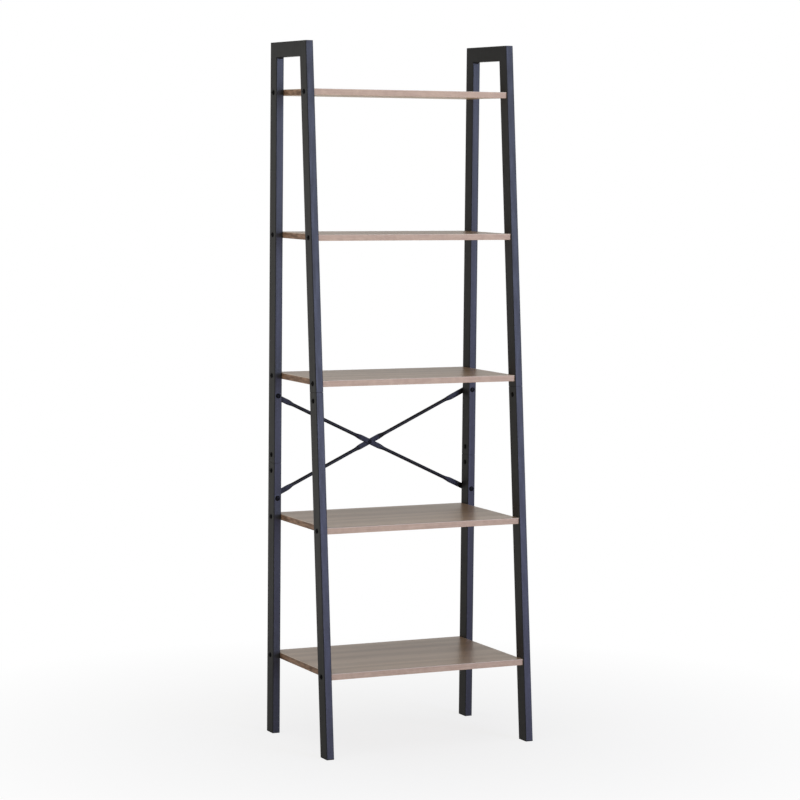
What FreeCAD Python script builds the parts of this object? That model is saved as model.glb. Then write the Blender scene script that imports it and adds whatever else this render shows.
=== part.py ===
import FreeCAD, Part
import math
import os

os.makedirs("parts", exist_ok=True)

# Five-tier ladder shelf: two steel side frames, five boards between them and a crossed brace behind.
# Millimetres. X runs to the right, Y to the back, Z up. The floor is Z = 0 and the origin is the
# middle of the footprint. The rear legs are upright and the front legs lean back.

# Overall sizes
HEIGHT = 1720.0
WIDTH = 561.0
BASE_DEPTH = 372.0
TOP_DEPTH = 215.0

# Side frame tube
TUBE_WIDTH = 20.0
TUBE_DEPTH = 38.0
TUBE_WALL = 1.2
TUBE_RADIUS = 2.0
TOP_BAR_HEIGHT = 37.0
JOINT_GAP = 0.8

# Boards
SHELF_NAMES = ["bottom", "lower", "middle", "upper", "top"]
BOTTOM_SHELF_HEIGHT = 204.0
TOP_SHELF_DROP = 115.0
JOINT_BAY_EXTRA = 3.5
SHELF_THICKNESS = 15.0
SHELF_SETBACK = 3.5
EDGE_BAND = 1.0
EDGE_BAND_ROUND = 0.8

# Joints between the upper and lower legs
FRONT_JOINT_DROP = 14.0
REAR_JOINT_DROP = 41.0
SLEEVE_LENGTH = 90.0
SLEEVE_WALL = 1.5
SLEEVE_CLEARANCE = 0.2
JOINT_BOLT_SPREAD = 20.0

# Bolts, inserts and nuts
BOLT_DIAMETER = 6.0
BOLT_HEAD_DIAMETER = 12.5
BOLT_HEAD_HEIGHT = 2.6
HEAD_RIM = 0.7
HEAD_CROWN_SHARE = 0.46
HEAD_BULGE = 0.45
BOLT_SOCKET_WIDTH = 4.0
BOLT_SOCKET_DEPTH = 1.7
HOLE_CLEARANCE = 0.5
THREAD_CLEARANCE = 0.05
INSERT_DIAMETER = 9.0
INSERT_LENGTH = 20.0
INSERT_HOLE_EXTRA = 4.0
INSERT_FIT = 0.05
BARREL_WALL = 1.0
BARREL_LENGTH = 12.0
BARREL_CAP = 1.5
NUT_WIDTH = 10.0
NUT_HEIGHT = 5.0
BOLT_TIP = 1.0

# Crossed brace behind the rear legs
BRACE_DIAMETER = 9.0
BRACE_FLAT_WIDTH = 13.5
BRACE_FLAT_THICKNESS = 2.4
BRACE_END_FLAT = 50.0
BRACE_CROSSING_SPARE = 12.0
BRACE_TRANSITION = 14.0
BRACE_CORNER_FLAT = 0.1
BRACE_TOP_DROP = 42.0
BRACE_BOTTOM_RISE = 40.0
RIVET_DIAMETER = 5.0
RIVET_HEAD_DIAMETER = 9.0
RIVET_HEAD_HEIGHT = 1.5

# Feet
FOOT_THICKNESS = 3.0
FOOT_ROUND = 1.0
PLUG_DEPTH = 22.0
PLUG_WALL = 1.8
PLUG_CLEARANCE = 0.4
PLUG_RIB_THICKNESS = 1.0
PLUG_RIB_COUNT = 3

SIDES = {"left": -1, "right": 1}
LEGS = ["front", "rear"]

# Places worked out from the sizes above
BRACE_STACK = max(BRACE_DIAMETER, BRACE_FLAT_THICKNESS + NUT_HEIGHT + BOLT_TIP)
FRONT_Y = -(BASE_DEPTH + BRACE_STACK) / 2
REAR_Y = FRONT_Y + BASE_DEPTH
LEAN = math.atan2(BASE_DEPTH - TOP_DEPTH, HEIGHT)
INNER_X = WIDTH / 2 - TUBE_WIDTH
TUBE_X = WIDTH / 2 - TUBE_WIDTH / 2
TOP_SHELF_HEIGHT = HEIGHT - TOP_SHELF_DROP
SHELF_RISE = TOP_SHELF_HEIGHT - BOTTOM_SHELF_HEIGHT - JOINT_BAY_EXTRA
SHELF_PITCH = SHELF_RISE / (len(SHELF_NAMES) - 1)
SHELF_HEIGHTS = [BOTTOM_SHELF_HEIGHT + SHELF_PITCH * i + (JOINT_BAY_EXTRA if i > 1 else 0)
                 for i in range(len(SHELF_NAMES))]
MIDDLE_BAY_FLOOR = SHELF_HEIGHTS[1]
MIDDLE_BAY_ROOF = SHELF_HEIGHTS[2] - SHELF_THICKNESS
JOINT_HEIGHT = {
    "front": MIDDLE_BAY_ROOF - FRONT_JOINT_DROP,
    "rear": (MIDDLE_BAY_FLOOR + MIDDLE_BAY_ROOF) / 2 - REAR_JOINT_DROP,
}
BRACE_TOP = MIDDLE_BAY_ROOF - BRACE_TOP_DROP
BRACE_BOTTOM = MIDDLE_BAY_FLOOR + BRACE_BOTTOM_RISE
HOLE_DIAMETER = BOLT_DIAMETER + HOLE_CLEARANCE
BARREL_DIAMETER = BOLT_DIAMETER + 2 * THREAD_CLEARANCE + 2 * BARREL_WALL
CUTTER = 3 * (WIDTH + BASE_DEPTH + HEIGHT)


def vec(x, y, z):
    return FreeCAD.Vector(x, y, z)


def lean_of(leg):
    """Angle of a leg from upright, in radians."""
    return LEAN if leg == "front" else 0.0


def outer_face_y(leg, z):
    """Y of a leg's outer face at height z: its front face in front, its back face behind."""
    if leg == "front":
        return FRONT_Y + (BASE_DEPTH - TOP_DEPTH) * z / HEIGHT
    return REAR_Y


def level_depth(leg):
    """Depth of a leg's tube measured level, along Y."""
    return TUBE_DEPTH / math.cos(lean_of(leg))


def inner_face_y(leg, z):
    """Y of the leg face that looks at the other leg."""
    step = level_depth(leg) if leg == "front" else -level_depth(leg)
    return outer_face_y(leg, z) + step


def centre_y(leg, z):
    """Y of a leg's centre line at height z."""
    return (outer_face_y(leg, z) + inner_face_y(leg, z)) / 2


def axis_of(leg):
    """Unit vector up along a leg."""
    return vec(0, math.sin(lean_of(leg)), math.cos(lean_of(leg)))


def rounded_rectangle(width, depth, radius):
    """Closed wire in the XY plane, centred on the origin."""
    x = width / 2
    y = depth / 2
    bend = radius * (1 - math.sqrt(0.5))
    edges = []
    for sx, sy in ((1, -1), (1, 1), (-1, 1), (-1, -1)):
        along_y = vec(sx * x, sy * (y - radius), 0)
        middle = vec(sx * (x - bend), sy * (y - bend), 0)
        along_x = vec(sx * (x - radius), sy * y, 0)
        first, last = (along_x, along_y) if sx * sy < 0 else (along_y, along_x)
        if edges:
            edges.append(Part.makeLine(edges[-1].lastVertex().Point, first))
        edges.append(Part.Arc(first, middle, last).toShape())
    edges.append(Part.makeLine(edges[-1].lastVertex().Point, edges[0].firstVertex().Point))
    return Part.Wire(edges)


def hollow_section(width, depth, wall, radius, length):
    """Rectangular tube standing on the XY plane, open at both ends."""
    outer = Part.Face(rounded_rectangle(width, depth, radius)).extrude(vec(0, 0, length))
    bore_radius = max(radius - wall, wall / 4)
    bore_wire = rounded_rectangle(width - 2 * wall, depth - 2 * wall, bore_radius)
    return outer.cut(Part.Face(bore_wire).extrude(vec(0, 0, length)))


def beyond(point, normal):
    """Large block on the far side of the plane through point, used to cut an end off."""
    block = Part.makeBox(CUTTER, CUTTER, CUTTER, vec(-CUTTER / 2, -CUTTER / 2, 0))
    block.Placement = FreeCAD.Placement(point, FreeCAD.Rotation(vec(0, 0, 1), normal))
    return block


def leg_section(leg, side, width, depth, wall, radius):
    """A tube along the whole length of a leg, longer than the leg at both ends."""
    margin = TUBE_DEPTH + TOP_BAR_HEIGHT
    length = HEIGHT / math.cos(lean_of(leg)) + 2 * margin
    tube = hollow_section(width, depth, wall, radius, length)
    foot = vec(side * TUBE_X, centre_y(leg, 0), 0) - axis_of(leg) * margin
    turn = FreeCAD.Rotation(vec(1, 0, 0), -math.degrees(lean_of(leg)))
    tube.Placement = FreeCAD.Placement(foot, turn)
    return tube


def rod(start, direction, length, diameter):
    return Part.makeCylinder(diameter / 2, length, start, direction)


def shelf_bolt_heights():
    return [z - SHELF_THICKNESS / 2 for z in SHELF_HEIGHTS]


def joint_bolt_heights(leg):
    """The upper bolt of a front joint is the middle shelf's own bolt."""
    lower = JOINT_HEIGHT[leg] - JOINT_BOLT_SPREAD
    if leg == "front":
        return [lower]
    return [lower, JOINT_HEIGHT[leg] + JOINT_BOLT_SPREAD]


def brace_heights():
    return [BRACE_BOTTOM, BRACE_TOP]


def drill_leg(shape, leg, side):
    """Holes of all the bolts that pass through one leg."""
    outside = side * (TUBE_X + TUBE_WIDTH)
    inward = vec(-side, 0, 0)
    for z in shelf_bolt_heights() + joint_bolt_heights(leg):
        start = vec(outside, centre_y(leg, z), z)
        shape = shape.cut(rod(start, inward, 2 * TUBE_WIDTH, HOLE_DIAMETER))
    for z in joint_bolt_heights(leg):
        start = vec(side * TUBE_X, centre_y(leg, z), z)
        shape = shape.cut(rod(start, inward, TUBE_WIDTH, BARREL_DIAMETER + HOLE_CLEARANCE))
    if leg == "rear":
        for z in brace_heights():
            start = vec(side * TUBE_X, REAR_Y - 2 * TUBE_DEPTH, z)
            shape = shape.cut(rod(start, vec(0, 1, 0), 3 * TUBE_DEPTH, HOLE_DIAMETER))
    return shape


def mitre(leg):
    """Point and normal of the plane where a leg meets the top bar. The normal points into the bar."""
    outer = vec(0, outer_face_y(leg, HEIGHT), HEIGHT)
    low = HEIGHT - TOP_BAR_HEIGHT
    inner = vec(0, inner_face_y(leg, low), low)
    normal = (inner - outer).cross(vec(1, 0, 0))
    normal.normalize()
    if normal.z < 0:
        normal = normal * -1
    return outer, normal


def joint_cut(leg, step):
    """Point on the leg's centre line, step above its joint."""
    z = JOINT_HEIGHT[leg]
    return vec(0, centre_y(leg, z), z) + axis_of(leg) * step


def leg_tube(leg, side):
    return leg_section(leg, side, TUBE_WIDTH, TUBE_DEPTH, TUBE_WALL, TUBE_RADIUS)


def upper_tube(leg, side):
    tube = leg_tube(leg, side).cut(beyond(*mitre(leg)))
    tube = tube.cut(beyond(joint_cut(leg, JOINT_GAP / 2), axis_of(leg) * -1))
    return drill_leg(tube, leg, side)


def lower_tube(leg, side):
    tube = leg_tube(leg, side).cut(beyond(vec(0, 0, FOOT_THICKNESS), vec(0, 0, -1)))
    tube = tube.cut(beyond(joint_cut(leg, -JOINT_GAP / 2), axis_of(leg)))
    return drill_leg(tube, leg, side)


def top_bar(side):
    """Level tube between the legs, mitred to both."""
    length = BASE_DEPTH
    bar = hollow_section(TUBE_WIDTH, TOP_BAR_HEIGHT, TUBE_WALL, TUBE_RADIUS, length)
    middle = (outer_face_y("front", HEIGHT) + REAR_Y) / 2
    start = vec(side * TUBE_X, middle - length / 2, HEIGHT - TOP_BAR_HEIGHT / 2)
    bar.Placement = FreeCAD.Placement(start, FreeCAD.Rotation(vec(1, 0, 0), -90))
    for leg in LEGS:
        point, normal = mitre(leg)
        bar = bar.cut(beyond(point, normal * -1))
    return bar


def bore_size(clearance):
    """Width and depth of a piece that slides into the tube with a clearance all round."""
    gap = 2 * (TUBE_WALL + clearance)
    return TUBE_WIDTH - gap, TUBE_DEPTH - gap


def joint_sleeve(leg, side):
    """Inner tube that joins the upper and lower leg."""
    width, depth = bore_size(SLEEVE_CLEARANCE)
    radius = max(TUBE_RADIUS - TUBE_WALL, SLEEVE_WALL / 2)
    sleeve = leg_section(leg, side, width, depth, SLEEVE_WALL, radius)
    for step in (SLEEVE_LENGTH / 2, -SLEEVE_LENGTH / 2):
        away = axis_of(leg) * math.copysign(1, step)
        sleeve = sleeve.cut(beyond(joint_cut(leg, step), away))
    return drill_leg(sleeve, leg, side)


def foot(leg, side):
    """Plastic end plug: a flange under the tube and a ribbed post inside it."""
    outline = rounded_rectangle(TUBE_WIDTH, level_depth(leg), TUBE_RADIUS)
    flange = Part.Face(outline).extrude(vec(0, 0, FOOT_THICKNESS))
    flange = flange.makeFillet(FOOT_ROUND, [e for e in flange.Edges if e.BoundBox.ZMax < FOOT_ROUND / 2])
    flange.translate(vec(side * TUBE_X, centre_y(leg, 0), 0))
    width, depth = bore_size(PLUG_CLEARANCE)
    radius = max(TUBE_RADIUS - TUBE_WALL, PLUG_WALL / 4)
    post = leg_section(leg, side, width, depth, PLUG_WALL, radius)
    post = post.cut(beyond(vec(0, 0, FOOT_THICKNESS), vec(0, 0, -1)))
    post = post.cut(beyond(vec(0, 0, FOOT_THICKNESS + PLUG_DEPTH), vec(0, 0, 1)))
    shape = flange.fuse(post)
    rib_width, rib_depth = bore_size(0)
    for i in range(PLUG_RIB_COUNT):
        low = FOOT_THICKNESS + PLUG_DEPTH * (i + 1) / (PLUG_RIB_COUNT + 1)
        rib = leg_section(leg, side, rib_width, rib_depth, PLUG_WALL, radius)
        rib = rib.cut(beyond(vec(0, 0, low), vec(0, 0, -1)))
        rib = rib.cut(beyond(vec(0, 0, low + PLUG_RIB_THICKNESS), vec(0, 0, 1)))
        shape = shape.fuse(rib)
    return shape.removeSplitter()


def shelf_span(height):
    """Front and back Y of the board whose top is at that height."""
    return outer_face_y("front", height) + SHELF_SETBACK, REAR_Y


def insert_places(height):
    """Side, Y and Z of the four bolts of one board."""
    z = height - SHELF_THICKNESS / 2
    return [(side, centre_y(leg, z), z) for side in SIDES.values() for leg in LEGS]


def drill_board(shape, height):
    """Blind holes for the threaded inserts, from both ends of the board."""
    depth = INSERT_LENGTH + INSERT_HOLE_EXTRA
    for side, y, z in insert_places(height):
        start = vec(side * INNER_X, y, z)
        shape = shape.cut(rod(start, vec(-side, 0, 0), depth, INSERT_DIAMETER + 2 * INSERT_FIT))
    return shape


def board(height):
    front, back = shelf_span(height)
    length = 2 * (INNER_X - EDGE_BAND)
    depth = back - front - 2 * EDGE_BAND
    corner = vec(-length / 2, front + EDGE_BAND, height - SHELF_THICKNESS)
    return drill_board(Part.makeBox(length, depth, SHELF_THICKNESS, corner), height)


def edging(height):
    """Four strips glued round a board. The front and back strips have eased edges."""
    front, back = shelf_span(height)
    low = height - SHELF_THICKNESS
    strips = []
    for y, face_y in ((front, front), (back - EDGE_BAND, back)):
        strip = Part.makeBox(2 * INNER_X, EDGE_BAND, SHELF_THICKNESS, vec(-INNER_X, y, low))
        outer = [e for e in strip.Edges if e.BoundBox.XLength > INNER_X
                 and abs(e.BoundBox.YMin - face_y) < EDGE_BAND / 2]
        strips.append(strip.makeFillet(EDGE_BAND_ROUND, outer))
    for x in (-INNER_X, INNER_X - EDGE_BAND):
        corner = vec(x, front + EDGE_BAND, low)
        strip = Part.makeBox(EDGE_BAND, back - front - 2 * EDGE_BAND, SHELF_THICKNESS, corner)
        strips.append(drill_board(strip, height))
    return strips


def button_head(diameter, height):
    """Domed head below the XY plane, with its flat side at Z = 0."""
    middle = vec(0, 0, 0)
    edge = vec(diameter / 2, 0, 0)
    rim = vec(diameter / 2, 0, -HEAD_RIM)
    crown = vec(HEAD_CROWN_SHARE * diameter / 2, 0, -height)
    top = vec(0, 0, -height)
    outward = (crown - rim).cross(vec(0, 1, 0))
    outward.normalize()
    dome = Part.Arc(rim, (rim + crown) * 0.5 + outward * HEAD_BULGE, crown).toShape()
    edges = [Part.makeLine(middle, edge), Part.makeLine(edge, rim), dome]
    edges += [Part.makeLine(crown, top), Part.makeLine(top, middle)]
    return Part.Face(Part.Wire(edges)).revolve(middle, vec(0, 0, 1), 360)


def hexagon(width, start_z, length):
    """Hexagonal prism along Z, width across its flats."""
    r = width / math.sqrt(3)
    corners = [vec(r * math.cos(math.radians(60 * i)), r * math.sin(math.radians(60 * i)), start_z)
               for i in range(7)]
    return Part.Face(Part.makePolygon(corners)).extrude(vec(0, 0, length))


def aim(shape, start, direction):
    """Turn a piece made along +Z to a direction, with its origin at start."""
    shape.Placement = FreeCAD.Placement(start, FreeCAD.Rotation(vec(0, 0, 1), direction))
    return shape


def button_bolt(start, direction, length):
    """Hex-socket button-head bolt. start is under the head, direction is the way it goes in."""
    bolt = button_head(BOLT_HEAD_DIAMETER, BOLT_HEAD_HEIGHT)
    bolt = bolt.fuse(rod(vec(0, 0, 0), vec(0, 0, 1), length, BOLT_DIAMETER))
    bolt = bolt.cut(hexagon(BOLT_SOCKET_WIDTH, -BOLT_HEAD_HEIGHT, BOLT_SOCKET_DEPTH))
    return aim(bolt.removeSplitter(), start, direction)


def shelf_bolts(side):
    """Ten bolts of one side frame, two for each board."""
    bolts = []
    for height in SHELF_HEIGHTS:
        for bolt_side, y, z in insert_places(height):
            if bolt_side == side:
                start = vec(side * WIDTH / 2, y, z)
                bolts.append(button_bolt(start, vec(-side, 0, 0), TUBE_WIDTH + INSERT_LENGTH))
    return bolts


def shelf_inserts():
    """Threaded inserts, one for each shelf bolt, flush with the board's end."""
    inserts = []
    bore = BOLT_DIAMETER + 2 * THREAD_CLEARANCE
    for height in SHELF_HEIGHTS:
        for side, y, z in insert_places(height):
            start = vec(side * INNER_X, y, z)
            inward = vec(-side, 0, 0)
            body = rod(start, inward, INSERT_LENGTH, INSERT_DIAMETER)
            inserts.append(body.cut(rod(start, inward, INSERT_LENGTH, bore)))
    return inserts


def joint_places():
    """Side, Y and Z of the bolts that hold the leg joints."""
    return [(side, centre_y(leg, z), z)
            for side in SIDES.values() for leg in LEGS for z in joint_bolt_heights(leg)]


def joint_bolts():
    length = TUBE_WIDTH - BARREL_CAP
    return [button_bolt(vec(side * WIDTH / 2, y, z), vec(-side, 0, 0), length)
            for side, y, z in joint_places()]


def joint_nuts():
    """Barrel nuts: a domed head on the inner face and a threaded barrel inside the tube."""
    nuts = []
    bore = BOLT_DIAMETER + 2 * THREAD_CLEARANCE
    for side, y, z in joint_places():
        nut = button_head(BOLT_HEAD_DIAMETER, BOLT_HEAD_HEIGHT)
        nut = nut.fuse(rod(vec(0, 0, 0), vec(0, 0, 1), BARREL_LENGTH, BARREL_DIAMETER))
        nut = nut.cut(rod(vec(0, 0, 0), vec(0, 0, 1), BARREL_LENGTH, bore))
        nuts.append(aim(nut.removeSplitter(), vec(side * INNER_X, y, z), vec(side, 0, 0)))
    return nuts


def brace_bolts():
    """Long bolts that go through the rear legs from the front and hold the brace's ends."""
    length = TUBE_DEPTH + BRACE_FLAT_THICKNESS + NUT_HEIGHT + BOLT_TIP
    start_y = inner_face_y("rear", 0)
    return [button_bolt(vec(side * TUBE_X, start_y, z), vec(0, 1, 0), length)
            for side in SIDES.values() for z in brace_heights()]


def brace_nuts():
    nuts = []
    bore = BOLT_DIAMETER + 2 * THREAD_CLEARANCE
    for side in SIDES.values():
        for z in brace_heights():
            nut = hexagon(NUT_WIDTH, 0, NUT_HEIGHT)
            nut = nut.cut(rod(vec(0, 0, 0), vec(0, 0, 1), NUT_HEIGHT, bore))
            start = vec(side * TUBE_X, REAR_Y + BRACE_FLAT_THICKNESS, z)
            nuts.append(aim(nut, start, vec(0, 1, 0)))
    return nuts


def brace_section(along, width, thickness, stand_off):
    """Outline of the bar across its length. stand_off is from the legs to its nearest face."""
    wire = rounded_rectangle(width, thickness, (min(width, thickness) - BRACE_CORNER_FLAT) / 2)
    turn = FreeCAD.Rotation(vec(0, 1, 0), 90)
    wire.Placement = FreeCAD.Placement(vec(along, stand_off + thickness / 2, 0), turn)
    return wire


def brace_bar(rising, middle_stand_off):
    """Round bar pressed flat where it is bolted and where it crosses the other bar.

    rising is 1 from bottom left to top right. The middle flat covers the whole crossing.
    """
    run = 2 * TUBE_X
    rise = BRACE_TOP - BRACE_BOTTOM
    half = math.hypot(run, rise) / 2
    middle_flat = BRACE_FLAT_WIDTH / 2 * run / rise + BRACE_CROSSING_SPARE
    flat = (BRACE_FLAT_WIDTH, BRACE_FLAT_THICKNESS)
    round_bar = (BRACE_DIAMETER, BRACE_DIAMETER)
    stations = [(half, flat, 0.0)]
    stations.append((half - BRACE_END_FLAT, flat, 0.0))
    stations.append((half - BRACE_END_FLAT - BRACE_TRANSITION, round_bar, 0.0))
    stations.append((middle_flat + BRACE_TRANSITION, round_bar, 0.0))
    stations.append((middle_flat, flat, middle_stand_off))
    left_half = [(-along, size, step) for along, size, step in stations]
    sections = [brace_section(along, size[0], size[1], step)
                for along, size, step in left_half + stations[::-1]]
    bar = Part.makeLoft(sections, True, True)
    for along in (-half, half):
        tip = rod(vec(along, 0, 0), vec(0, 1, 0), BRACE_FLAT_THICKNESS, BRACE_FLAT_WIDTH)
        bar = bar.fuse(tip)
    for along in (-half, half):
        bar = bar.cut(rod(vec(along, -1, 0), vec(0, 1, 0), BRACE_DIAMETER, HOLE_DIAMETER))
    bar = bar.cut(rod(vec(0, -1, 0), vec(0, 1, 0), 2 * BRACE_DIAMETER, RIVET_DIAMETER + HOLE_CLEARANCE))
    slope = -rising * math.degrees(math.atan2(rise, run))
    centre = vec(0, REAR_Y, (BRACE_TOP + BRACE_BOTTOM) / 2)
    bar.Placement = FreeCAD.Placement(centre, FreeCAD.Rotation(vec(0, 1, 0), slope))
    return bar


def brace_rivet():
    """Rivet through the two flat middles."""
    front = REAR_Y + BRACE_DIAMETER / 2 - BRACE_FLAT_THICKNESS
    z = (BRACE_TOP + BRACE_BOTTOM) / 2
    grip = 2 * BRACE_FLAT_THICKNESS
    rivet = rod(vec(0, front, z), vec(0, 1, 0), grip, RIVET_DIAMETER)
    near = aim(button_head(RIVET_HEAD_DIAMETER, RIVET_HEAD_HEIGHT), vec(0, front, z), vec(0, 1, 0))
    far = aim(button_head(RIVET_HEAD_DIAMETER, RIVET_HEAD_HEIGHT), vec(0, front + grip, z), vec(0, -1, 0))
    return rivet.fuse(near).fuse(far).removeSplitter()


def save(name, shapes):
    """Write one node: a single piece, or a group of separate pieces."""
    if not isinstance(shapes, list):
        shapes = [shapes]
    solids = [solid for shape in shapes for solid in shape.Solids]
    node = solids[0] if len(solids) == 1 else Part.makeCompound(solids)
    node.exportStep("parts/" + name + ".step")


for side_name, side_sign in SIDES.items():
    for leg_name in LEGS:
        prefix = side_name + "_" + leg_name + "_"
        save(prefix + "upper_tube", upper_tube(leg_name, side_sign))
        save(prefix + "lower_tube", lower_tube(leg_name, side_sign))
        save(prefix + "sleeve", joint_sleeve(leg_name, side_sign))
        save(prefix + "foot", foot(leg_name, side_sign))
    save(side_name + "_top_bar", top_bar(side_sign))
    save(side_name + "_shelf_bolts", shelf_bolts(side_sign))

for shelf_name, shelf_height in zip(SHELF_NAMES, SHELF_HEIGHTS):
    save(shelf_name + "_shelf", board(shelf_height))
    save(shelf_name + "_shelf_edging", edging(shelf_height))

save("shelf_inserts", shelf_inserts())
save("joint_bolts", joint_bolts())
save("joint_nuts", joint_nuts())
save("brace_bolts", brace_bolts())
save("brace_nuts", brace_nuts())
save("brace_bar_near", brace_bar(-1, BRACE_DIAMETER / 2 - BRACE_FLAT_THICKNESS))
save("brace_bar_far", brace_bar(1, BRACE_DIAMETER / 2))
save("brace_rivet", brace_rivet())
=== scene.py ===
import math

import bmesh
import bpy
from mathutils import Matrix, Vector


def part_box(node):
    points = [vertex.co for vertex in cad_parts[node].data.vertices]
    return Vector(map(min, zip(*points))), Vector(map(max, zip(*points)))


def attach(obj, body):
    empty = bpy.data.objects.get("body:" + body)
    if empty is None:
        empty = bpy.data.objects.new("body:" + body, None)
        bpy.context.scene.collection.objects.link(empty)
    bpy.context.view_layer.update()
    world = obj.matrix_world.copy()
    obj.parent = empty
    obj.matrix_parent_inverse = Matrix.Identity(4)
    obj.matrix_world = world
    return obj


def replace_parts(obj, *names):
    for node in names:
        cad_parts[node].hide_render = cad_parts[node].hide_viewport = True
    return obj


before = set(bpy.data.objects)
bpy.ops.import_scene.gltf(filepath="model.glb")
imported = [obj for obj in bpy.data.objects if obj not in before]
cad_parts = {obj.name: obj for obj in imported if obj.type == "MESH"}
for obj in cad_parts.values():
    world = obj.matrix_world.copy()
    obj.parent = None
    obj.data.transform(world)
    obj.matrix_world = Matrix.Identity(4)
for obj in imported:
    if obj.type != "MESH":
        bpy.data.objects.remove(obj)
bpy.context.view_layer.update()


# Side frames. Each is two legs and a top bar of welded rectangular steel tube, sprayed with a
# charcoal powder coat and baked. The coat has a fine orange-peel skin, and its tone and gloss
# change a little in streaks along the legs.
def material_tree(name):
    """A new material's node tree with nothing in it, and the material."""
    material = bpy.data.materials.new(name)
    material.use_nodes = True
    material.node_tree.nodes.clear()
    return material.node_tree, material


def add(tree, kind, inputs=None, **settings):
    """One shader node. Each input is a value or another node's output."""
    made = tree.nodes.new(kind)
    for key, value in settings.items():
        setattr(made, key, value)
    for key, value in (inputs or {}).items():
        if isinstance(value, bpy.types.NodeSocket):
            tree.links.new(value, made.inputs[key])
        else:
            made.inputs[key].default_value = value
    return made


def place(tree, scale=(1, 1, 1), turn=(0, 0, 0)):
    """The piece's own coordinates in metres, stretched by scale."""
    coordinates = add(tree, "ShaderNodeTexCoord").outputs["Object"]
    mapping = add(tree, "ShaderNodeMapping", {"Vector": coordinates})
    mapping.inputs["Scale"].default_value = scale
    mapping.inputs["Rotation"].default_value = turn
    return mapping.outputs["Vector"]


def noise(tree, vector, scale, detail=2.0, roughness=0.5, distortion=0.0):
    values = {"Vector": vector, "Scale": scale, "Detail": detail,
              "Roughness": roughness, "Distortion": distortion}
    return add(tree, "ShaderNodeTexNoise", values).outputs["Fac"]


def ramp(tree, factor, stops):
    """Colours at places along 0 to 1."""
    made = add(tree, "ShaderNodeValToRGB", {"Fac": factor})
    elements = made.color_ramp.elements
    elements[0].position, elements[0].color = stops[0][0], (*stops[0][1], 1)
    elements[1].position, elements[1].color = stops[-1][0], (*stops[-1][1], 1)
    for position, colour in stops[1:-1]:
        elements.new(position).color = (*colour, 1)
    return made.outputs["Color"]


def spread(tree, factor, low, high, start=0.0, end=1.0):
    """A factor from start to end turned into a number from low to high."""
    values = {"Value": factor, "From Min": start, "From Max": end, "To Min": low, "To Max": high}
    return add(tree, "ShaderNodeMapRange", values).outputs["Result"]


def bump(tree, height, depth, under=None):
    """Relief of that depth in metres, over another relief."""
    values = {"Height": height, "Strength": 1.0, "Distance": depth}
    if under is not None:
        values["Normal"] = under
    return add(tree, "ShaderNodeBump", values).outputs["Normal"]


def surface(tree, **values):
    """The finish itself: a principled shader on the material's output."""
    shader = add(tree, "ShaderNodeBsdfPrincipled", {k.replace("_", " "): v for k, v in values.items()})
    add(tree, "ShaderNodeOutputMaterial", {"Surface": shader.outputs["BSDF"]})


def powder_coat(name, dark, light, roughness, shine):
    """Baked paint: streaks up the piece, a mottle, and orange peel."""
    tree, material = material_tree(name)
    streaks = noise(tree, place(tree, (160, 160, 3)), 1.0, 3.0)
    mottle = noise(tree, place(tree), 45.0, 4.0, 0.6)
    uneven = add(tree, "ShaderNodeMath", {0: streaks, 1: mottle}, operation="ADD").outputs[0]
    colour = ramp(tree, spread(tree, uneven, 0, 1, 0.7, 1.3), [(0.0, dark), (1.0, light)])
    peel = noise(tree, place(tree), 520.0, 2.0, 0.45)
    grit = noise(tree, place(tree), 2600.0, 1.0)
    skin = bump(tree, grit, 0.00002, bump(tree, peel, 0.00008))
    rough = spread(tree, streaks, roughness - 0.05, roughness + 0.07, 0.3, 0.7)
    surface(tree, Base_Color=colour, Roughness=rough, Normal=skin, Specular_IOR_Level=shine)
    return material


def finish_node(name, material):
    """A CAD node keeps its shape and gets a finish."""
    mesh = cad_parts[name].data
    mesh.materials.clear()
    mesh.materials.append(material)


SIDES = ["left", "right"]
LEGS = ["front", "rear"]
COAT_DARK = (0.016, 0.016, 0.016)
COAT_LIGHT = (0.026, 0.026, 0.026)
frame_coat = powder_coat("frame_powder_coat", COAT_DARK, COAT_LIGHT, roughness=0.38, shine=0.5)
for side in SIDES:
    finish_node(side + "_top_bar", frame_coat)
    for leg in LEGS:
        finish_node(f"{side}_{leg}_upper_tube", frame_coat)
        finish_node(f"{side}_{leg}_lower_tube", frame_coat)


# Joint sleeves. Short lengths of drawn steel tube with a dark phosphate skin, which slide inside
# the legs where the upper and lower halves meet. Only the hairline gap at the joint shows them, and
# their dark colour there is also painted shade for the inside of the gap.
def drawn_steel(name, colour, roughness):
    tree, material = material_tree(name)
    lines = noise(tree, place(tree, (900, 900, 6)), 1.0, 3.0)
    tone = ramp(tree, lines, [(0.2, tuple(c * 0.75 for c in colour)), (0.8, colour)])
    rough = spread(tree, lines, roughness - 0.08, roughness + 0.1)
    surface(tree, Base_Color=tone, Metallic=1.0, Roughness=rough, Normal=bump(tree, lines, 0.00002))
    return material


# Dark phosphate colour, also painted shade for the hairline gap at the joint.
PHOSPHATE_AND_GAP_SHADE = (0.030, 0.029, 0.028)
sleeve_steel = drawn_steel("phosphated_steel", PHOSPHATE_AND_GAP_SHADE, roughness=0.55)
for side in SIDES:
    for leg in LEGS:
        finish_node(f"{side}_{leg}_sleeve", sleeve_steel)


# Feet. Black moulded plastic plugs pushed into the open ends of the legs, with a spark-textured
# flange that the shelf stands on.
def moulded_plastic(name, colour):
    tree, material = material_tree(name)
    spark = noise(tree, place(tree), 1800.0, 3.0, 0.6)
    scuff = noise(tree, place(tree), 90.0, 4.0, 0.6)
    tone = ramp(tree, scuff, [(0.3, colour), (0.8, tuple(c * 1.7 for c in colour))])
    rough = spread(tree, spark, 0.5, 0.72)
    surface(tree, Base_Color=tone, Roughness=rough, Normal=bump(tree, spark, 0.00006))
    return material


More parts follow.
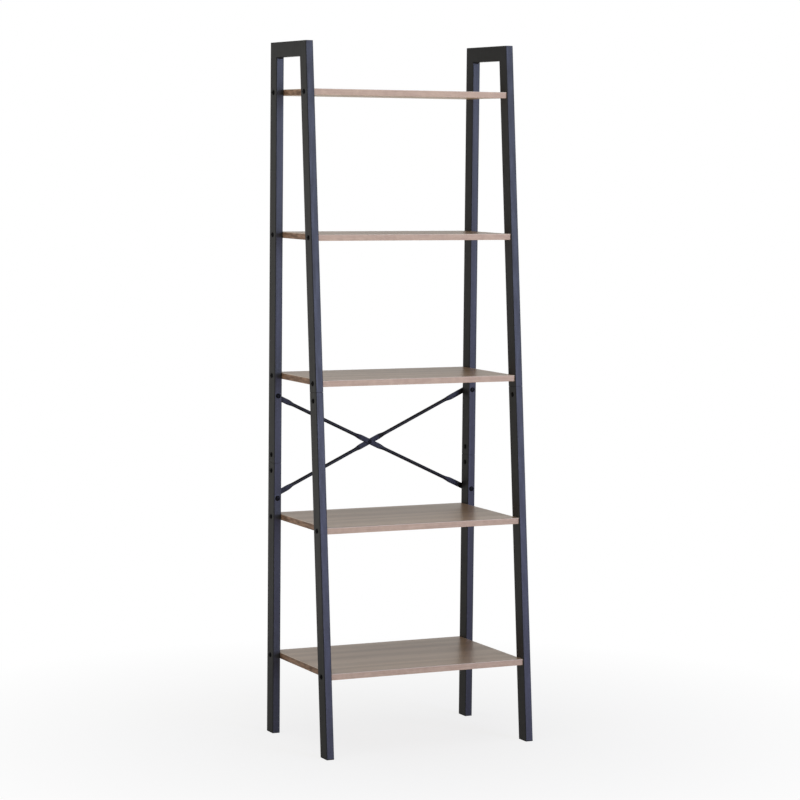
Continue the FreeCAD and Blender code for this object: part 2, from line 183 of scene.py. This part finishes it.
BLACK_PLASTIC = (0.012, 0.012, 0.013)
foot_plastic = moulded_plastic("foot_plastic", BLACK_PLASTIC)
for side in SIDES:
    for leg in LEGS:
        finish_node(f"{side}_{leg}_foot", foot_plastic)


# Boards. Particleboard faced above and below with a greige oak laminate. Its printed grain runs
# along the board, with long streaks, a few cathedral arches and short dark pores pressed into it.
BOARD_NAMES = ["bottom", "lower", "middle", "upper", "top"]
GRAIN_DARK = (0.376, 0.256, 0.156)
GRAIN_MIDDLE = (0.470, 0.320, 0.195)
GRAIN_LIGHT = (0.564, 0.384, 0.234)
PORE = (0.235, 0.160, 0.098)
ARCH_SHARE = 0.26
DRIFT_SHARE = 0.45


def blend(tree, share, first, second):
    """A number that goes from the first to the second with the share."""
    return add(tree, "ShaderNodeMix", {0: share, 2: first, 3: second}, data_type="FLOAT").outputs[0]


def blend_colour(tree, share, first, second):
    """A colour that goes from the first to the second with the share."""
    return add(tree, "ShaderNodeMix", {0: share, 6: first, 7: second}, data_type="RGBA").outputs[2]


def laminate(name):
    """Printed oak: slow drift, fine streaks and arches, with pores pressed in."""
    tree, material = material_tree(name)
    drift = noise(tree, place(tree, (1.3, 6.0, 9.0)), 1.0, 2.0)
    streaks = noise(tree, place(tree, (2.2, 85.0, 31.0)), 1.0, 5.0, 0.62, 0.15)
    arches = add(tree, "ShaderNodeTexWave",
                 {"Vector": place(tree, (0.30, 2.4, 7.0)), "Scale": 2.0, "Distortion": 8.0,
                  "Detail": 2.5, "Detail Scale": 0.9, "Detail Roughness": 0.55},
                 wave_type="BANDS", bands_direction="Y", wave_profile="SIN").outputs["Fac"]
    grain = blend(tree, ARCH_SHARE, streaks, arches)
    grain = blend(tree, DRIFT_SHARE, grain, drift)
    tone = ramp(tree, grain, [(0.30, GRAIN_DARK), (0.50, GRAIN_MIDDLE), (0.70, GRAIN_LIGHT)])
    dashes = noise(tree, place(tree, (28.0, 900.0, 60.0)), 1.0, 2.0, 0.5)
    pores = spread(tree, dashes, 0.0, 1.0, 0.60, 0.68)
    colour = blend_colour(tree, spread(tree, pores, 0.0, 0.45), tone, (*PORE, 1))
    depth = add(tree, "ShaderNodeMath", {0: grain, 1: pores}, operation="SUBTRACT").outputs[0]
    surface(tree, Base_Color=colour, Roughness=spread(tree, grain, 0.36, 0.28, 0.3, 0.7),
            Normal=bump(tree, depth, 0.00005))
    return material


board_laminate = laminate("oak_laminate")
for name in BOARD_NAMES:
    finish_node(name + "_shelf", board_laminate)


# Edge bands. Strips of the same print, ironed on with glue round each board. Along the top
# arris a lighter line is painted: partly the scraped trim line, partly a painted highlight where
# light catches the eased edge. The end strips are painted darker, as painted shade on the ends.
BAND_DARK = (0.500, 0.335, 0.215)
BAND_LIGHT = (0.670, 0.485, 0.322)
# End strip colours, much darker than the front strips: painted shade on the board ends.
END_SHADED_DARK = (0.190, 0.106, 0.063)
END_SHADED_LIGHT = (0.455, 0.272, 0.170)
# Colour of the painted highlight along the top arris, which also stands for the scraped trim.
ARRIS_HIGHLIGHT = (0.800, 0.680, 0.540)
ARRIS_WIDTH = 0.0016
STRIP_THICKNESS = 0.001
SPECK_SHARE = 0.45


def edge_band(name, top, reach):
    """Finish of the strips of one board. top is the height of its face, reach its half length."""
    tree, material = material_tree(name)
    along = noise(tree, place(tree, (16.0, 40.0, 420.0)), 1.0, 4.0, 0.6, 0.3)
    mottle = noise(tree, place(tree), 60.0, 3.0, 0.55)
    grain = blend(tree, SPECK_SHARE, along, mottle)
    front = ramp(tree, grain, [(0.32, BAND_DARK), (0.68, BAND_LIGHT)])
    # The end strips are painted darker than the front strips: painted shade on the board ends.
    slant = noise(tree, place(tree, (30.0, 34.0, 150.0), (0.35, 0, 0)), 1.0, 3.0, 0.55)
    ends = ramp(tree, slant, [(0.36, END_SHADED_DARK), (0.64, END_SHADED_LIGHT)])
    split = add(tree, "ShaderNodeSeparateXYZ", {0: place(tree)})
    outward = add(tree, "ShaderNodeMath", {0: split.outputs["X"]}, operation="ABSOLUTE").outputs[0]
    end_strip = reach - 0.9 * STRIP_THICKNESS
    at_end = add(tree, "ShaderNodeMath", {0: outward, 1: end_strip}, operation="GREATER_THAN")
    tone = blend_colour(tree, at_end.outputs[0], front, ends)
    # Painted highlight: a lighter line along the top arris only, for light on the eased edge as well
    # as the scraped trim.
    arris_highlight = spread(tree, split.outputs["Z"], 0.0, 0.9, top - ARRIS_WIDTH, top - ARRIS_WIDTH / 3)
    tone = blend_colour(tree, arris_highlight, tone, (*ARRIS_HIGHLIGHT, 1))
    surface(tree, Base_Color=tone, Roughness=spread(tree, grain, 0.42, 0.55),
            Normal=bump(tree, along, 0.00005))
    return material


for name in BOARD_NAMES:
    low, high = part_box(name + "_shelf_edging")
    finish_node(name + "_shelf_edging", edge_band(name + "_edge_band", high.z, high.x))


# Threaded inserts. Zinc-plated steel bushes screwed into the ends of the boards, where the
# shelf bolts find their thread. The boards and the legs hide them.
ZINC_DULL = (0.46, 0.44, 0.36)
ZINC_BRIGHT = (0.62, 0.61, 0.56)


def zinc_plate(name):
    tree, material = material_tree(name)
    blotch = noise(tree, place(tree), 350.0, 4.0, 0.65)
    tone = ramp(tree, blotch, [(0.3, ZINC_DULL), (0.7, ZINC_BRIGHT)])
    surface(tree, Base_Color=tone, Metallic=1.0, Roughness=spread(tree, blotch, 0.28, 0.45),
            Normal=bump(tree, blotch, 0.00002))
    return material


finish_node("shelf_inserts", zinc_plate("zinc_plate"))


# Bolts, nuts and rivet. Black-oxide steel with an oiled surface: button-head bolts with a hex
# socket, domed barrel nuts on the inside of the leg joints, and the rivet where the brace crosses.
def black_oxide(name, colour):
    tree, material = material_tree(name)
    bloom = noise(tree, place(tree), 700.0, 3.0, 0.6)
    tone = ramp(tree, bloom, [(0.3, colour), (0.8, tuple(c * 2.2 for c in colour))])
    surface(tree, Base_Color=tone, Metallic=0.75, Roughness=spread(tree, bloom, 0.30, 0.48),
            Normal=bump(tree, bloom, 0.00003), Specular_IOR_Level=0.2)
    return material


OXIDE = (0.006, 0.006, 0.0065)
bolt_black = black_oxide("black_oxide", OXIDE)
for name in ["left_shelf_bolts", "right_shelf_bolts", "joint_bolts", "joint_nuts", "brace_rivet"]:
    finish_node(name, bolt_black)


# Crossed brace. Two thin steel tubes behind the rear legs, pressed flat at the ends and in the
# middle, with a darker coat than the frame, bolted to the legs and riveted where they cross.
TUBE_ROUND = 0.009
FLAT_WIDTH = 0.0135
FLAT_THICKNESS = 0.0024
END_FLAT = 0.046
CROSSING_SPARE = 0.012
PRESS_RUN = 0.021
PRESS_CUTS = 7
PRESSED_POWER = 0.38
TIP_CUTS = 6
TIP_LIMIT = 0.985
TUBE_SIDES = 28


def finish_mesh(mesh, name, material, sharp):
    """The bmesh made a piece of the shelf, shaded smooth up to that angle in degrees."""
    bmesh.ops.recalc_face_normals(mesh, faces=mesh.faces)
    data = bpy.data.meshes.new(name)
    mesh.to_mesh(data)
    mesh.free()
    data.shade_smooth()
    data.set_sharp_from_angle(angle=math.radians(sharp))
    data.materials.append(material)
    piece = bpy.data.objects.new(name, data)
    bpy.context.scene.collection.objects.link(piece)
    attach(piece, "root")
    return piece


def slice_at(mesh, places):
    """New rings of vertices across X at those places."""
    for place_x in places:
        everything = mesh.verts[:] + mesh.edges[:] + mesh.faces[:]
        bmesh.ops.bisect_plane(mesh, geom=everything, plane_co=(place_x, 0, 0), plane_no=(1, 0, 0))


def ease(share):
    """0 to 1 with a soft start and end."""
    share = min(1.0, max(0.0, share))
    return share * share * (3 - 2 * share)


def squarer(value, power):
    """A sine or cosine pushed outwards, which turns a circle into a flattened oval."""
    return math.copysign(abs(value) ** power, value)


def brace_tube(node, rising, middle_step):
    """One bar, made level along X and then turned to its slope about the crossing.

    rising is 1 or -1 for the way it slopes. middle_step moves the crossing flat back from the legs.
    """
    low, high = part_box(node)
    run = high.x - low.x - FLAT_WIDTH
    rise = high.z - low.z - FLAT_WIDTH
    half = math.hypot(run, rise) / 2
    tip = half + FLAT_WIDTH / 2
    middle_flat = FLAT_WIDTH / 2 * run / rise + CROSSING_SPARE
    end_flat = half - END_FLAT
    bar = bmesh.new()
    bmesh.ops.create_cone(bar, cap_ends=True, segments=TUBE_SIDES, radius1=0.5, radius2=0.5,
                          depth=2 * tip)
    bmesh.ops.rotate(bar, verts=bar.verts, matrix=Matrix.Rotation(math.radians(90), 3, "Y"))
    cuts = [middle_flat + PRESS_RUN * step / PRESS_CUTS for step in range(PRESS_CUTS + 1)]
    cuts += [end_flat - PRESS_RUN * step / PRESS_CUTS for step in range(PRESS_CUTS + 1)]
    tip_turns = [math.pi / 2 * step / TIP_CUTS for step in range(TIP_CUTS)]
    cuts += [half + FLAT_WIDTH / 2 * math.sin(tip_turn) for tip_turn in tip_turns]
    slice_at(bar, [0.0] + cuts + [-cut for cut in cuts])
    for corner in bar.verts:
        away = abs(corner.co.x)
        at_middle = ease((middle_flat + PRESS_RUN - away) / PRESS_RUN)
        pressed = max(at_middle, ease((away - end_flat + PRESS_RUN) / PRESS_RUN))
        width = TUBE_ROUND + (FLAT_WIDTH - TUBE_ROUND) * pressed
        thickness = TUBE_ROUND + (FLAT_THICKNESS - TUBE_ROUND) * pressed
        power = 1 - (1 - PRESSED_POWER) * pressed
        past_hole = min(TIP_LIMIT, max(0.0, (away - half) / (FLAT_WIDTH / 2)))
        width *= math.sqrt(1 - past_hole ** 2)
        corner.co.z = squarer(2 * corner.co.z, power) * width / 2
        corner.co.y = squarer(2 * corner.co.y, power) * thickness / 2 + thickness / 2
        corner.co.y += middle_step * at_middle
    slope = Matrix.Rotation(-rising * math.atan2(rise, run), 3, "Y")
    bmesh.ops.rotate(bar, verts=bar.verts, matrix=slope)
    bmesh.ops.translate(bar, verts=bar.verts, vec=(0, low.y, (low.z + high.z) / 2))
    piece = finish_mesh(bar, node.replace("bar", "tube"), brace_coat, 50)
    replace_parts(piece, node)


BRACE_DARK = (0.007, 0.007, 0.007)
BRACE_LIGHT = (0.012, 0.012, 0.012)
brace_coat = powder_coat("brace_powder_coat", BRACE_DARK, BRACE_LIGHT, roughness=0.40, shine=0.33)
brace_tube("brace_bar_near", -1, TUBE_ROUND / 2 - FLAT_THICKNESS)
brace_tube("brace_bar_far", 1, TUBE_ROUND / 2)


# Brace bolts and nuts. M6 button-head bolts with a hex socket go through the rear legs from the
# front, and plain chamfered nuts clamp the flat ends of the brace on their threaded tips.
HEAD_RADIUS = 0.00625
HEAD_RISE = 0.0026
HEAD_EDGE = 0.0003
HEAD_LIFT = 0.0001
DOME_START = 20
DOME_STEP = 8.1
DOME_STEPS = 8
DOME_SWELL = 0.9
DOME_FLATTEN = 0.55
SEAT_SHARE = 0.985
SOCKET_REACH = 0.0020
SOCKET_DEPTH = 0.0017
SOCKET_LAND = 1.28
SHANK_RADIUS = 0.003
THREAD_ROOT = 0.00255
THREAD_PITCH = 0.001
THREAD_TURNS = 9
ROOT_SHARE = 0.55
TIP_LENGTH = 0.0008
TIP_RADIUS = 0.00225
NUT_REACH = 0.005
NUT_HEIGHT = 0.005
NUT_EASE = 0.94
TURN_STEPS = 48
MERGE = 1e-6
CHAMFER_DEGREES = 30


def turned(profile):
    """Spin a profile of (radius, height, hexagonal) points about Z into a closed solid.

    A hexagonal point gives the reach of a flat, and its corners stand out further than that.
    """
    solid = bmesh.new()
    ring = [solid.verts.new((radius, 0, height)) for radius, height, hexagonal in profile]
    links = [solid.edges.new(pair) for pair in zip(ring, ring[1:])]
    bmesh.ops.spin(solid, geom=ring + links, axis=(0, 0, 1), cent=(0, 0, 0), dvec=(0, 0, 0),
                   angle=math.tau, steps=TURN_STEPS, use_merge=True)
    bmesh.ops.remove_doubles(solid, verts=solid.verts, dist=MERGE)
    flats = [(radius, height) for radius, height, hexagonal in profile if hexagonal]
    for corner in solid.verts:
        reach = math.hypot(corner.co.x, corner.co.y)
        if any(abs(reach - r) < MERGE and abs(corner.co.z - h) < MERGE for r, h in flats):
            turn = math.atan2(corner.co.y, corner.co.x) % (math.pi / 3) - math.pi / 6
            corner.co.x /= math.cos(turn)
            corner.co.y /= math.cos(turn)
    return solid


def chamfer_corners(solid, top, reach):
    """Take the sharp corners of a hexagon down, as on a turned nut blank."""
    for corner in solid.verts:
        out = math.hypot(corner.co.x, corner.co.y) - reach
        if out > MERGE and abs(corner.co.z - top) < MERGE:
            corner.co.z -= out * math.tan(math.radians(CHAMFER_DEGREES))


def gather(into, solid, turn, place_at):
    """Put a solid made at the origin where it belongs, in the same mesh as its fellows."""
    bmesh.ops.transform(solid, verts=solid.verts, matrix=Matrix.Translation(place_at) @ turn)
    data = bpy.data.meshes.new("solid")
    solid.to_mesh(data)
    solid.free()
    into.from_mesh(data)
    bpy.data.meshes.remove(data)


def button_profile(length):
    """Socket, dome, underside, shank and threaded end of one bolt, head below Z = 0."""
    bottom = SOCKET_DEPTH - HEAD_RISE
    profile = [(0.0, bottom, False), (SOCKET_REACH, bottom, True), (SOCKET_REACH, -HEAD_RISE, True)]
    profile.append((SOCKET_REACH * SOCKET_LAND, -HEAD_RISE, False))
    for step in range(1, DOME_STEPS + 1):
        swing = math.radians(DOME_START + DOME_STEP * step)
        dome_radius = HEAD_RADIUS * math.sin(swing) ** DOME_SWELL
        dome_height = -HEAD_RISE * math.cos(swing) ** DOME_FLATTEN - HEAD_LIFT
        profile.append((dome_radius, dome_height, False))
    profile.append((HEAD_RADIUS, -HEAD_EDGE, False))
    profile += [(HEAD_RADIUS * SEAT_SHARE, 0.0, False), (SHANK_RADIUS, 0.0, False)]
    thread = length - TIP_LENGTH - THREAD_TURNS * THREAD_PITCH
    profile.append((SHANK_RADIUS, thread, False))
    for ridge in range(THREAD_TURNS):
        base = thread + ridge * THREAD_PITCH
        profile.append((THREAD_ROOT, base + ROOT_SHARE * THREAD_PITCH, False))
        profile.append((SHANK_RADIUS, base + THREAD_PITCH, False))
    profile += [(TIP_RADIUS, length, False), (0.0, length, False)]
    return profile


def nut_profile():
    """Bore, underside, flats and eased top of one nut, standing on Z = 0."""
    flats_top = NUT_HEIGHT * NUT_EASE
    profile = [(SHANK_RADIUS, 0.0, False), (NUT_REACH, 0.0, True), (NUT_REACH, flats_top, True)]
    profile += [(NUT_REACH * NUT_EASE, NUT_HEIGHT, False), (SHANK_RADIUS, NUT_HEIGHT, False)]
    profile.append((SHANK_RADIUS, 0.0, False))
    return profile


heads = bmesh.new()
nuts = bmesh.new()
bolt_low, bolt_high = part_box("brace_bolts")
nut_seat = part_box("brace_nuts")[0].y
head_face = bolt_low.y + HEAD_RISE
lie_back = Matrix.Rotation(math.radians(-90), 4, "X")
for across in (bolt_low.x + HEAD_RADIUS, bolt_high.x - HEAD_RADIUS):
    for up in (bolt_low.z + HEAD_RADIUS, bolt_high.z - HEAD_RADIUS):
        bolt = turned(button_profile(bolt_high.y - head_face))
        gather(heads, bolt, lie_back, (across, head_face, up))
        nut = turned(nut_profile())
        chamfer_corners(nut, NUT_HEIGHT * NUT_EASE, NUT_REACH)
        gather(nuts, nut, lie_back, (across, nut_seat, up))
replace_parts(finish_mesh(heads, "brace_button_bolts", bolt_black, 30), "brace_bolts")
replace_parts(finish_mesh(nuts, "brace_hex_nuts", bolt_black, 30), "brace_nuts")


# Weld beads. Short fillet welds in the two inner corners of each side frame, where the top bar
# meets the legs, rippled by the torch and painted over with the frame.
BEAD_RADIUS = 0.0026
BEAD_LENGTH = 0.0150
BEAD_RIPPLES = 9
BEAD_CUTS = 4 * BEAD_RIPPLES
BEAD_SIDES = 16
RIPPLE_SHARE = 0.10
BEAD_TIP = 0.1
BEAD_TIP_POWER = 8
BEAD_SINK = 0.0006
BASE_DEPTH = 0.372
TOP_DEPTH = 0.215
FRAME_HEIGHT = 1.720
LEAN = math.atan2(BASE_DEPTH - TOP_DEPTH, FRAME_HEIGHT)
beads = bmesh.new()
for side in SIDES:
    bar_low, bar_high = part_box(side + "_top_bar")
    rear_low, rear_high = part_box(side + "_rear_upper_tube")
    level_depth = (rear_high.y - rear_low.y) / math.cos(LEAN)
    front_corner = bar_low.y + level_depth - math.tan(LEAN) * (bar_high.z - bar_low.z)
    for corner_y, outward in ((rear_low.y, -1), (front_corner, 1)):
        bead = bmesh.new()
        bmesh.ops.create_cone(bead, cap_ends=True, segments=BEAD_SIDES, radius1=1, radius2=1, depth=1)
        bmesh.ops.rotate(bead, verts=bead.verts, matrix=Matrix.Rotation(math.radians(90), 3, "Y"))
        slice_at(bead, [cut / BEAD_CUTS - 0.5 for cut in range(1, BEAD_CUTS)])
        for corner in bead.verts:
            ripple = 1 + RIPPLE_SHARE * math.cos(math.tau * BEAD_RIPPLES * corner.co.x)
            rounding = math.sqrt(max(0.0, 1 - (2 * corner.co.x) ** BEAD_TIP_POWER))
            taper = BEAD_TIP + (1 - BEAD_TIP) * rounding
            corner.co.y *= BEAD_RADIUS * ripple * taper
            corner.co.z *= BEAD_RADIUS * ripple * taper
            corner.co.x *= BEAD_LENGTH
        across = (bar_low.x + bar_high.x) / 2
        middle = (across, corner_y + outward * BEAD_SINK, bar_low.z - BEAD_SINK)
        gather(beads, bead, Matrix.Identity(4), middle)
finish_mesh(beads, "weld_beads", frame_coat, 60)


# Studio. A pale floor that fades into a white room. White soft lights stand above, behind on the
# right for the boards and beside on the left, and two blue ones in front on the right for the
# front faces of the legs.
FLOOR_REACH = 30.0
FLOOR_WHITE = (0.93, 0.93, 0.93, 1)
WHITE = (1, 1, 1, 1)
ROOM_TINT = (1.0, 0.99, 0.95, 1.0)
ROOM_LIGHT = 0.205


def soft_light(name, place_at, aim_at, width, height, power, colour):
    """A flat light of that size that points at a place."""
    data = bpy.data.lights.new(name, "AREA")
    data.shape = "RECTANGLE"
    data.size = width
    data.size_y = height
    data.energy = power
    data.color = colour
    lamp = bpy.data.objects.new(name, data)
    lamp.location = place_at
    lamp.rotation_euler = (Vector(aim_at) - Vector(place_at)).to_track_quat("-Z", "Y").to_euler()
    lamp.visible_camera = False
    bpy.context.scene.collection.objects.link(lamp)


floor_mesh = bpy.data.meshes.new("floor")
sheet = bmesh.new()
bmesh.ops.create_grid(sheet, x_segments=1, y_segments=1, size=FLOOR_REACH)
sheet.to_mesh(floor_mesh)
sheet.free()
floor = bpy.data.objects.new("floor", floor_mesh)
bpy.context.scene.collection.objects.link(floor)
tree, floor_paint = material_tree("floor_paint")
paint = add(tree, "ShaderNodeBsdfDiffuse", {"Color": FLOOR_WHITE})
glow = add(tree, "ShaderNodeEmission", {"Color": WHITE, "Strength": 1.0})
from_middle = add(tree, "ShaderNodeVectorMath", {0: place(tree)}, operation="LENGTH")
distance = from_middle.outputs["Value"]
seen = add(tree, "ShaderNodeLightPath").outputs["Is Camera Ray"]
lit_fade = spread(tree, distance, 0.2, 1.0, 0.3, 2.4)
seen_fade = spread(tree, distance, 0.80, 1.0, 0.2, 1.4)
fade = blend(tree, seen, lit_fade, seen_fade)
floor_mix = add(tree, "ShaderNodeMixShader", {0: fade, 1: paint.outputs[0], 2: glow.outputs[0]})
add(tree, "ShaderNodeOutputMaterial", {"Surface": floor_mix.outputs[0]})
floor_mesh.materials.append(floor_paint)
floor.visible_glossy = False

world = bpy.data.worlds.new("studio")
bpy.context.scene.world = world
world.use_nodes = True
sky = world.node_tree
sky.nodes.clear()
room = add(sky, "ShaderNodeBackground", {"Color": ROOM_TINT, "Strength": ROOM_LIGHT})
wall = add(sky, "ShaderNodeBackground", {"Color": WHITE, "Strength": 1.0})
seen = add(sky, "ShaderNodeLightPath").outputs["Is Camera Ray"]
backdrop = add(sky, "ShaderNodeMixShader", {0: seen, 1: room.outputs[0], 2: wall.outputs[0]})
add(sky, "ShaderNodeOutputWorld", {"Surface": backdrop.outputs[0]})
soft_light("top_light", place_at=(-0.9, -0.8, 4.2), aim_at=(0, 0, 0.8),
           width=3.0, height=3.0, power=30.0, colour=(1.0, 0.98, 0.95))
soft_light("back_light", place_at=(2.6, 4.6, 1.7), aim_at=(0, 0, 0.9),
           width=3.0, height=3.0, power=16.0, colour=(1.0, 0.99, 0.97))
soft_light("side_card", place_at=(-1.05, 1.2, 0.9), aim_at=(-0.28, 0, 0.9),
           width=0.5, height=1.8, power=1.1, colour=(1.0, 0.98, 0.92))
soft_light("cool_light", place_at=(3.3, -7.6, 2.3), aim_at=(0, 0, 1.0),
           width=3.4, height=3.6, power=252.0, colour=(0.555, 0.634, 1.0))
soft_light("low_light", place_at=(2.0, -3.6, 0.15), aim_at=(0, 0, 0.5),
           width=2.6, height=1.6, power=27.0, colour=(0.49, 0.46, 1.0))
bpy.context.scene.view_settings.view_transform = "Standard"


# Camera. A long lens in front and to the left, a little above the middle of the shelf and looking
# slightly down, so that the tops of the boards show.
CAMERA_AT = (-2.9328, -6.1182, 1.4593)
LENS = 123.795
SENSOR = 36.0
PAN = -25.5788
LOOK_DOWN = 5.1877
ROLL = 0.5727
camera = bpy.data.objects.new("camera", bpy.data.cameras.new("camera"))
camera.data.lens = LENS
camera.data.sensor_width = SENSOR
aim = (Matrix.Rotation(math.radians(PAN), 4, "Z")
       @ Matrix.Rotation(math.radians(90 - LOOK_DOWN), 4, "X")
       @ Matrix.Rotation(math.radians(ROLL), 4, "Z"))
camera.matrix_world = Matrix.Translation(CAMERA_AT) @ aim
bpy.context.scene.collection.objects.link(camera)
bpy.context.scene.camera = camera
